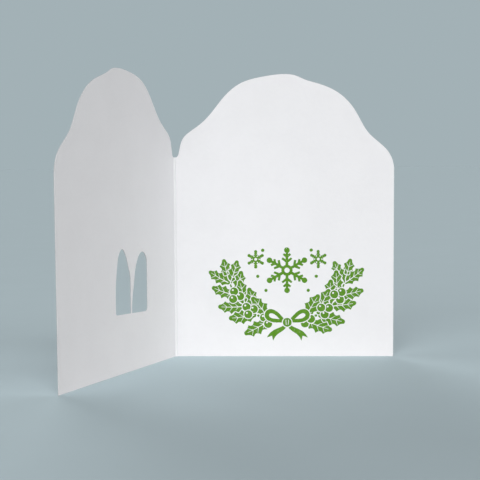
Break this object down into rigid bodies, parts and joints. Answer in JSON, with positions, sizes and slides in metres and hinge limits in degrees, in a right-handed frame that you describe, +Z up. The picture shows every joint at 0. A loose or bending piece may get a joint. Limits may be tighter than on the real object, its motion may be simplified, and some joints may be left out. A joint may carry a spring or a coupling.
{
  "type": "greeting card",
  "caption": "Folded greeting card of heavy white card standing open, with a domed die-cut outline, a notch at the fold and pointed windows cut through the cover.",
  "frame": {"origin": "middle of the card's box, at the level of the surface it stands on", "axes": "+Z up along the fold, +X along the back panel away from the fold, -Y towards the reader of the inside"},
  "size_m": [0.1488, 0.101, 0.1397],
  "materials": {
    "card_stock": "uncoated",
    "print_ink": "matte"
  },
  "bodies": {
    "root": {"folded_card": "card_stock"}
  },
  "joints": []
}
